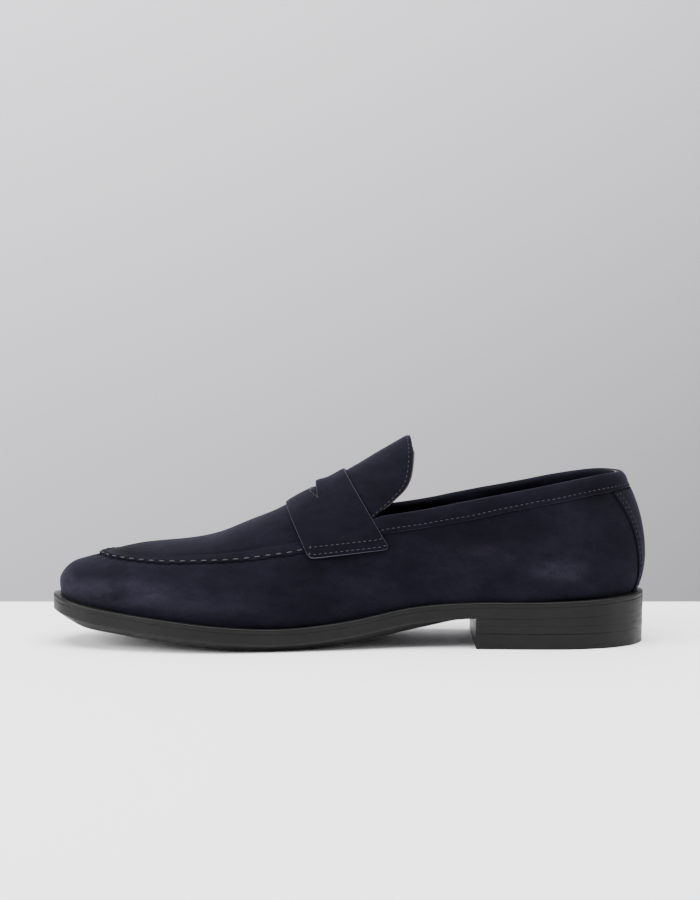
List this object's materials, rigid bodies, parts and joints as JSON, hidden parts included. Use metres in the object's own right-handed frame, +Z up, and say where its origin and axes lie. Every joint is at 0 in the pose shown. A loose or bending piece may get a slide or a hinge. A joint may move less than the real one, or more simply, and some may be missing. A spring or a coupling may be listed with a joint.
{
  "type": "penny loafer",
  "caption": "Right penny loafer in dark suede: moccasin apron, slotted strap, bound collar, and a low rubber sole with a stacked heel.",
  "frame": {"origin": "on the ground, at the centre of the shoe's outline seen from above", "axes": "-X towards the toe, +X towards the heel, -Y towards the inner (medial) side, +Z up"},
  "size_m": [0.301, 0.1018, 0.1031],
  "materials": {
    "suede": "matte",
    "black_lining": "matte",
    "brown_lining": "matte",
    "sole_rubber": "satin",
    "heel_rubber": "satin",
    "stiffener": "matte",
    "backing_cloth": "matte",
    "insole_board": "matte",
    "cork_filler": "matte",
    "foam": "matte",
    "shank_steel": "brushed",
    "nail_steel": "brushed"
  },
  "bodies": {
    "root": {"outsole": "sole_rubber", "welt": "sole_rubber", "heel_lift_upper": "sole_rubber", "heel_lift_lower": "sole_rubber", "heel_top_piece": "heel_rubber", "heel_nails": "nail_steel", "shank": "shank_steel", "bottom_filler": "cork_filler", "insole_board": "insole_board", "sock_foam": "foam", "sock_liner": "black_lining", "apron": "suede", "skirt": "suede", "strap": "suede", "collar_band": "suede", "backstay": "suede", "toe_puff": "stiffener", "vamp_backer": "backing_cloth", "tongue_interlining": "backing_cloth", "topline_tape": "backing_cloth", "heel_counter": "stiffener", "side_backer_inner": "backing_cloth", "side_backer_outer": "backing_cloth", "vamp_lining": "black_lining", "tongue_lining": "brown_lining", "quarter_lining_inner": "black_lining", "quarter_lining_outer": "black_lining", "heel_grip": "black_lining"}
  },
  "joints": []
}
